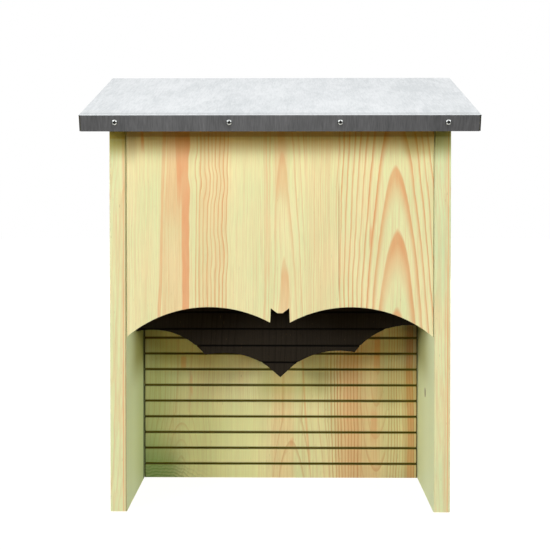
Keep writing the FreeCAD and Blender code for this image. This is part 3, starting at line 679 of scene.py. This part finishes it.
def galvanisedMaterial(spec):
    material, tree = newMaterial("galvanised_steel_sheet")
    spot = placeInMillimetres(tree)[0]
    sideways = addNode(tree, "SeparateXYZ", spot)
    # flat: x as in the frame, y up the slope from the front face, z square to the sheet
    moved = addNode(tree, "VectorMath", spot, (0, -spec["frontFace"], -spec["foldHeight"]),
                    operation="ADD")
    flat = addNode(tree, "VectorRotate", moved, rotation_type="X_AXIS",
                   sockets={"Angle": math.radians(-spec["slope"])})
    upSlope, height = addNode(tree, "SeparateXYZ", flat).outputs[1:3]
    onTop = eased(tree, height, spec["fold"], (0.0, 1.0))

    speck = sizedNoise(tree, flat, **spec["speck"])
    cloud = sizedNoise(tree, flat, **spec["cloud"])
    cells = addNode(tree, "Mapping", flat, sockets={"Scale": (1, spec["stretch"], 1)})
    cells = addNode(tree, "TexVoronoi", cells, sockets={
        "Scale": 1 / spec["spangle"], "Randomness": 1.0})
    cellTone = addNode(tree, "SeparateXYZ", cells.outputs["Color"])
    mottle = maths(tree, "MULTIPLY", cellTone, spec["spangleShare"])
    mottle = maths(tree, "MULTIPLY_ADD", cloud, spec["cloudShare"], mottle)
    mottle = maths(tree, "ADD", speck, mottle)
    mottle = ranged(tree, mottle, spec["mottle"], (0.0, 1.0))
    topColour = tinted(tree, mottle, hexColour(spec["topDull"]), spec["top"])
    # painted light: the top is brighter towards the eaves than by the wall
    paintedSlopeLight = ranged(tree, upSlope, (0.0, spec["run"]), (1.0, spec["backDimming"]))
    topColour = scaled(tree, topColour, paintedSlopeLight)

    brush = sizedNoise(tree, flat, **spec["brush"])
    brush = ranged(tree, brush, spec["brushRange"], (0.0, 1.0))
    patches = sizedNoise(tree, flat, **spec["patches"])
    worn = maths(tree, "MULTIPLY", brush, spec["brushShare"])
    worn = maths(tree, "MULTIPLY_ADD", patches, spec["patchShare"], worn, use_clamp=True)
    lipColour = tinted(tree, worn, hexColour(spec["lip"]), spec["lipWorn"])
    ends = maths(tree, "MULTIPLY", ranged(tree, sideways, *spec["leftEnd"]),
                 ranged(tree, sideways, *spec["rightEnd"]))
    lipColour = scaled(tree, lipColour, ends)
    # painted shadow below each lip screw
    paintedShade = spec["paintedShade"]
    for place in screwPlaces(boards["lip_screws_front"], lipOut):
        centre = place / millimetre + Vector((0, 0, -paintedShade["drop"]))
        away = addNode(tree, "VectorMath", spot, centre, operation="DISTANCE").outputs["Value"]
        screwShadow = eased(tree, away, (0.0, paintedShade["reach"]), (paintedShade["amount"], 0.0))
        lipColour = tinted(tree, screwShadow, lipColour, paintedShade["colour"])
    colour = addNode(tree, "MixRGB", onTop, lipColour, topColour)
    # a darker strip just behind the fold
    crease = spec["crease"]
    middle = crease["back"] - spec["eaves"]
    strip = band(tree, upSlope, middle - crease["half"], middle + crease["half"], crease["soft"])
    strip = maths(tree, "MULTIPLY", strip, crease["amount"])
    strip = maths(tree, "MULTIPLY", strip, onTop)
    colour = tinted(tree, strip, colour, crease["colour"])
    # painted shade, black, in the open corners where the front lip meets the side lips
    corner = spec["corner"]
    outer = ranged(tree, maths(tree, "ABSOLUTE", sideways),
                   [spec["halfWidth"] - wide for wide in corner["wide"]], (0.0, 1.0))
    front = ranged(tree, upSlope, [back - spec["eaves"] for back in corner["back"]], (1.0, 0.0))
    gap = maths(tree, "MULTIPLY", outer, front)
    gap = maths(tree, "MULTIPLY", gap, maths(tree, "SUBTRACT", 1.0, onTop))
    colour = tinted(tree, gap, colour, corner["colour"])

    roughTop = ranged(tree, mottle, (0.0, 1.0), spec["roughTop"])
    roughness = maths(tree, "MULTIPLY_ADD", brush, spec["roughBrush"], spec["roughLip"])
    change = maths(tree, "SUBTRACT", roughTop, roughness)
    roughness = maths(tree, "MULTIPLY_ADD", change, onTop, roughness)
    relief = maths(tree, "ADD", speck, brush)
    closeMaterial(tree, colour, roughness, relief, spec["relief"], {"Metallic": 1.0})
    return material


# Steel parts, bright zinc plated: smooth, slightly blue, with tumbling dents and grey rub marks.
# rub and grit are the sizes of those in mm.
plating = {
    "rubDetail": 3.0, "rubRange": (0.35, 0.7), "gritDetail": 2.0, "recessShade": 0.92,
    "relief": {"strength": 0.15, "depth": 0.0001},
    "slopeShadeTilt": 0.15, "slopeShadeRange": (0.2, 0.45),
}
plainScrew = {"dull": "B4B8BA", "paintedShade": "161512", "rub": 2.0, "grit": 0.5, "rough": (0.2, 0.34)}


def platedMaterial(name, spec):
    material, tree = newMaterial(name)
    spot, normal = placeInMillimetres(tree)
    rub = addNode(tree, "TexNoise", spot, sockets={
        "Scale": 1 / spec["rub"], "Detail": plating["rubDetail"]})
    rub = ranged(tree, rub, plating["rubRange"], (0.0, 1.0))
    grit = addNode(tree, "TexNoise", spot, sockets={
        "Scale": 1 / spec["grit"], "Detail": plating["gritDetail"]})
    colour = tinted(tree, rub, hexColour(spec["bright"]), spec["dull"])
    if "slopeShade" in spec:
        # painted light and shade by slope: a dome's upper and lower slopes stay bright, its crown
        # and flanks are painted grey
        tilt = addNode(tree, "SeparateXYZ", normal).outputs["Z"]
        tilt = maths(tree, "ADD", tilt, plating["slopeShadeTilt"])
        tilt = maths(tree, "ABSOLUTE", tilt)
        slopeShade = ranged(tree, tilt, plating["slopeShadeRange"], (1.0, 0.0))
        colour = tinted(tree, slopeShade, colour, spec["slopeShade"])
    if "paintedShade" in spec:
        # painted shade in the driver recess
        recessShadeMask = addNode(tree, "Attribute", attribute_name="recess").outputs["Fac"]
        recessShadeMask = maths(tree, "MULTIPLY", recessShadeMask, plating["recessShade"])
        colour = tinted(tree, recessShadeMask, colour, spec["paintedShade"])
    roughness = ranged(tree, rub, (0.0, 1.0), spec["rough"])
    closeMaterial(tree, colour, roughness, grit, plating["relief"], {"Metallic": 1.0})
    return material


zincSheet = galvanisedMaterial(roofSheet)
lipScrewZinc = platedMaterial("bright_zinc_dome", {
    **plainScrew, "bright": "DEE0DD", "dull": "B4B8B6", "slopeShade": "6A6C6C"})
screwZinc = platedMaterial("bright_zinc_screw", {**plainScrew, "bright": "E4E6E6"})
plateZinc = platedMaterial("zinc_plated_plate", {
    "bright": "D5D9DB", "dull": "A3A8AB", "rub": 9.0, "grit": 0.8, "rough": (0.3, 0.48)})
finishes = {
    **woods, "roof_sheet": zincSheet,
    "left_hanger_plate": plateZinc, "right_hanger_plate": plateZinc,
}
for name, material in finishes.items():
    for slot in boards[name].material_slots:
        slot.material = material
print("metal ready")


# Screws: one of each kind is modelled, then copied to where the frame's plain ones stand.
# Lengths in mm; proud is how far the frame's plain head stands above the rim of this one.
screwKinds = {
    "lipScrew": {
        "head": 2.75, "sink": 0.3, "tapered": False, "dome": 1.7, "rings": 6, "proud": 1.7,
        "shank": 1.25, "length": 15.5, "tip": 3.0,
        "recess": 3.5, "recessWide": 1.7, "recessDeep": 1.2, "sides": 40},
    "woodScrew": {
        "head": 4.02, "sink": 2.3, "tapered": True, "dome": 0.12, "rings": 2, "proud": 0,
        "shank": 1.8, "length": 39.5, "tip": 5.0,
        "recess": 4.4, "recessWide": 1.0, "recessDeep": 1.6, "sides": 36},
    "plateScrew": {
        "head": 2.6, "sink": 1.4, "tapered": True, "dome": 0.0, "rings": 2, "proud": 0,
        "shank": 1.2, "length": 9.5, "tip": 2.5,
        "recess": 2.8, "recessWide": 0.8, "recessDeep": 1.1, "sides": 32},
}
screwLooks = {
    "tipTaper": 0.25, "recessTaper": {0: (0.45, 0.8, 1), 90: (0.8, 0.45, 1)},
    "steep": 0.5,                               # z of a normal between a wall and a floor
    "floorDepth": 0.6, "floorReach": 0.6,       # shares of the recess's depth and head's radius
    "bevel": 0.12, "bevelFrom": 40, "smoothUpTo": 35,
    "spinStep": 0.9, "spinFirst": 0.35,         # radians, so that no two recesses line up
}
nearlyLevel = 0.9   # z of a normal from which a face counts as facing up or down


def selectOnly(piece):
    bpy.ops.object.select_all(action="DESELECT")
    piece.select_set(True)
    bpy.context.view_layer.objects.active = piece


def selectFaces(piece, wanted):
    # in edit mode: select just the faces that the test picks
    mesh = bmesh.from_edit_mesh(piece.data)
    for face in mesh.faces:
        face.select_set(wanted(face))
    mesh.select_flush_mode()
    bmesh.update_edit_mesh(piece.data)


def scaleTo(factor):
    bpy.ops.transform.resize(value=(factor, factor, 1))


def extrudeUp(height):
    bpy.ops.mesh.extrude_region_move(TRANSFORM_OT_translate={"value": (0, 0, height)})


def turnScrew(name, kind):
    # head, shank and tip; gives the screw and the height of its crown
    head, shank, sink, dome, tip = (
        kind[key] * millimetre for key in ("head", "shank", "sink", "dome", "tip"))
    bpy.ops.object.select_all(action="DESELECT")
    bpy.ops.mesh.primitive_cylinder_add(
        vertices=kind["sides"], radius=head, depth=sink, location=(0, 0, -sink / 2))
    screw = bpy.context.object
    screw.name = name
    bpy.ops.object.transform_apply(location=True)
    bpy.ops.object.mode_set(mode="EDIT")
    bpy.ops.mesh.select_mode(type="FACE")
    selectFaces(screw, lambda f: f.normal.z < -nearlyLevel)
    if kind["tapered"]:
        scaleTo(kind["shank"] / kind["head"])
    else:
        bpy.ops.mesh.inset(thickness=head - shank)
        selectFaces(screw, lambda f: f.normal.z < -nearlyLevel and len(f.verts) == kind["sides"])
    extrudeUp(sink - (kind["length"] - kind["tip"]) * millimetre)
    extrudeUp(-tip)
    scaleTo(screwLooks["tipTaper"])
    # the crown of the head rises in rings that close in like a dome
    selectFaces(screw, lambda f: f.normal.z > nearlyLevel)
    widthNow, heightNow = 1.0, 0.0
    for ring in range(1, kind["rings"] + 1):
        angle = ring / (kind["rings"] + 1) * math.pi / 2
        width, height = math.cos(angle), math.sin(angle)
        extrudeUp(dome * (height - heightNow))
        scaleTo(width / widthNow)
        widthNow, heightNow = width, height
    bpy.ops.object.mode_set(mode="OBJECT")
    return screw, dome * heightNow


def cutRecess(screw, kind, top):
    # a cross, from two tapered bars at right angles
    wide, thin, deep = (
        kind[key] * millimetre for key in ("recess", "recessWide", "recessDeep"))
    for turn, taper in screwLooks["recessTaper"].items():
        bpy.ops.object.select_all(action="DESELECT")
        bpy.ops.mesh.primitive_cube_add(size=1, location=(0, 0, top))
        cutter = bpy.context.object
        cutter.scale = (wide, thin, 2 * deep)
        cutter.rotation_euler.z = math.radians(turn)
        bpy.ops.object.transform_apply(location=True, rotation=True, scale=True)
        bpy.ops.object.mode_set(mode="EDIT")
        selectFaces(cutter, lambda f: f.normal.z < -nearlyLevel)
        bpy.ops.transform.resize(value=taper)
        bpy.ops.object.mode_set(mode="OBJECT")
        selectOnly(screw)
        cut = screw.modifiers.new("recess", "BOOLEAN")
        cut.object = cutter
        cut.operation = "DIFFERENCE"
        cut.solver = "EXACT"
        bpy.ops.object.modifier_apply(modifier="recess")
        bpy.data.objects.remove(cutter, do_unlink=True)


def markRecess(screw, kind, top):
    # walls and floor of the recess are marked for the painted shade in them
    head, wide, deep = (kind[key] * millimetre for key in ("head", "recess", "recessDeep"))
    recessShade = screw.data.attributes.new("recess", "FLOAT", "FACE")
    for face in screw.data.polygons:
        reach = math.hypot(face.center.x, face.center.y)
        wall = reach < wide / 2 and abs(face.normal.z) < screwLooks["steep"]
        low = face.normal.z > screwLooks["steep"] and (
            face.center.z < top - deep * screwLooks["floorDepth"])
        floor = low and reach < head * screwLooks["floorReach"]
        recessShade.data[face.index].value = 1.0 if wall or floor else 0.0


def modelScrew(name, kind):
    screw, top = turnScrew(name, kind)
    cutRecess(screw, kind, top)
    markRecess(screw, kind, top)
    soften = screw.modifiers.new("soften", "BEVEL")
    soften.width = screwLooks["bevel"] * millimetre
    soften.segments = 2
    soften.limit_method = "ANGLE"
    soften.angle_limit = math.radians(screwLooks["bevelFrom"])
    bpy.ops.object.modifier_apply(modifier="soften")
    bpy.ops.object.shade_smooth_by_angle(angle=math.radians(screwLooks["smoothUpTo"]))
    return screw


screwGroups = {
    "lip_screws_front": ("lipScrew", [lipOut]),
    "lip_screws_side": ("lipScrew", [sideOut, -sideOut]),
    "front_panel_screws": ("woodScrew", [sideOut, -sideOut]),
    "middle_panel_screws": ("woodScrew", [sideOut, -sideOut]),
    "back_panel_screws": ("woodScrew", [sideOut, -sideOut]),
    "roof_board_screws": ("woodScrew", [roofUp]),
    "hanger_plate_screws": ("plateScrew", [backOut]),
}
models = {name: modelScrew(name, kind) for name, kind in screwKinds.items()}
for group, (kind, directions) in screwGroups.items():
    copies = []
    for way in directions:
        for place in screwPlaces(boards[group], way):
            if len(directions) > 1 and place.x * way.x < 0:
                continue   # this one is on the other side
            copy = models[kind].copy()
            copy.data = models[kind].data.copy()
            bpy.context.collection.objects.link(copy)
            turn = screwLooks["spinStep"] * len(copies) + screwLooks["spinFirst"]
            spin = Matrix.Rotation(turn, 4, "Z")
            aim = way.to_track_quat("Z", "Y").to_matrix().to_4x4()
            seat = Matrix.Translation(place - way * screwKinds[kind]["proud"] * millimetre)
            copy.data.transform(seat @ aim @ spin)
            copies.append(copy)
    bpy.ops.object.select_all(action="DESELECT")
    for copy in copies:
        copy.select_set(True)
    bpy.context.view_layer.objects.active = copies[0]
    bpy.ops.object.join()
    piece = bpy.context.object
    piece.name = group + "_modelled"
    piece.data.materials.clear()
    piece.data.materials.append(lipScrewZinc if kind == "lipScrew" else screwZinc)
    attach(piece, "root")
    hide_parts(group)
for model in models.values():
    bpy.data.objects.remove(model, do_unlink=True)
print("screws ready")


# Studio: pale floor, white surroundings, soft lamps
studio = {
    "floorSize": 14, "floorColour": "7C7664", "fibreColour": "857F6C", "fibreScale": 300.0,
    # metres from the box, and how much the paper glows there
    "liftRun": (0.8, 2.5), "lift": (0.95, 1.05),
    "surroundLight": 0.01, "surroundTint": "FFD890", "white": "FFFFFF",
    "aim": (0, 0, 0.2),
    "lamps": {
        "keyLeft": {"azimuth": -44, "elevation": 16, "distance": 3.0, "size": (1.5, 0.95),
                    "power": 66},
        "keyRight": {"azimuth": 44, "elevation": 16, "distance": 3.0, "size": (1.5, 0.95),
                     "power": 47.8},
        "low": {"azimuth": 4, "elevation": 7, "distance": 3.0, "size": (0.5, 0.08),
                "power": 6.5, "colour": "FFB850", "glint": False},
        "overhead": {"azimuth": 180, "elevation": 70, "distance": 2.6, "size": (2.2, 2.2),
                     "power": 4},
        # these light what the photograph doesn't show, and throw no glint on the roof
        "rear": {"azimuth": 180, "elevation": 10, "distance": 3.0, "size": (1.6, 1.0),
                 "power": 58, "glint": False},
        "sideLeft": {"azimuth": -102, "elevation": 8, "distance": 3.0, "size": (1.2, 0.9),
                     "power": 26, "glint": False},
        "sideRight": {"azimuth": 102, "elevation": 8, "distance": 3.0, "size": (1.2, 0.9),
                      "power": 34, "glint": False},
    },
}


def seenDirectly(tree):
    # 1 for what is looked at, mirrored or seen through, 0 for what only gives light
    rays = addNode(tree, "LightPath").outputs
    seen = maths(tree, "MAXIMUM", rays["Is Camera Ray"], rays["Is Glossy Ray"])
    return maths(tree, "MAXIMUM", seen, rays["Is Transmission Ray"])


bpy.ops.object.select_all(action="DESELECT")
bpy.ops.mesh.primitive_plane_add(size=studio["floorSize"], location=(0, 0, 0))
floor = bpy.context.object
floor.name = "studio_floor"
floorMaterial, tree = newMaterial("studio_floor_paper")
place = addNode(tree, "TexCoord").outputs["Object"]
# near the box the paper is dim enough to keep its shadow, farther off it is blown out
lift = ranged(tree, lengthOf(tree, place), studio["liftRun"], studio["lift"])
lift = maths(tree, "MULTIPLY", seenDirectly(tree), lift)
fibres = addNode(tree, "TexNoise", place, sockets={"Scale": studio["fibreScale"]})
paper = tinted(tree, fibres, hexColour(studio["floorColour"]), studio["fibreColour"])
matt = addNode(tree, "BsdfDiffuse", paper)
glow = addNode(tree, "Emission", hexColour(studio["white"]), lift)
lit = addNode(tree, "AddShader", matt, glow)
# from below the floor is clear, so that the underside can be looked at
under = addNode(tree, "NewGeometry").outputs["Backfacing"]
clear = addNode(tree, "BsdfTransparent")
addNode(tree, "OutputMaterial", addNode(tree, "MixShader", under, lit, clear))
floor.data.materials.append(floorMaterial)

world = bpy.data.worlds.new("studio_surround")
bpy.context.scene.world = world
world.use_nodes = True
tree = world.node_tree
tree.nodes.clear()
seen = seenDirectly(tree)
strength = ranged(tree, seen, (0.0, 1.0), (studio["surroundLight"], 1.0))
tint = tinted(tree, seen, hexColour(studio["surroundTint"]), studio["white"])
addNode(tree, "OutputWorld", addNode(tree, "Background", tint, strength))

for name, spec in studio["lamps"].items():
    lamp = bpy.data.lights.new(name, "AREA")
    lamp.shape = "RECTANGLE"
    lamp.size, lamp.size_y = spec["size"]
    lamp.energy = spec["power"]
    lamp.color = hexColour(spec.get("colour", studio["white"]))[:3]
    holder = bpy.data.objects.new(name, lamp)
    bpy.context.collection.objects.link(holder)
    holder.visible_glossy = spec.get("glint", True)
    holder.visible_camera = False
    azimuth, elevation = (math.radians(spec[key]) for key in ("azimuth", "elevation"))
    outward = Vector((math.sin(azimuth) * math.cos(elevation),
                      -math.cos(azimuth) * math.cos(elevation), math.sin(elevation)))
    holder.location = Vector(studio["aim"]) + outward * spec["distance"]
    holder.rotation_euler = outward.to_track_quat("Z", "Y").to_euler()

camera = {
    "place": (0.006807, -1.078722, 0.303949), "turn": (88.7086, 0, 0.6439),
    "lens": 69.90, "sensor": 36, "shiftY": -0.09395,
}
view = bpy.data.cameras.new("photo_camera")
view.lens = camera["lens"]
view.sensor_width = camera["sensor"]
view.shift_y = camera["shiftY"]
holder = bpy.data.objects.new("photo_camera", view)
bpy.context.collection.objects.link(holder)
holder.location = camera["place"]
holder.rotation_euler = [math.radians(angle) for angle in camera["turn"]]
bpy.context.scene.camera = holder
bpy.context.scene.view_settings.view_transform = "Standard"
print("studio ready")
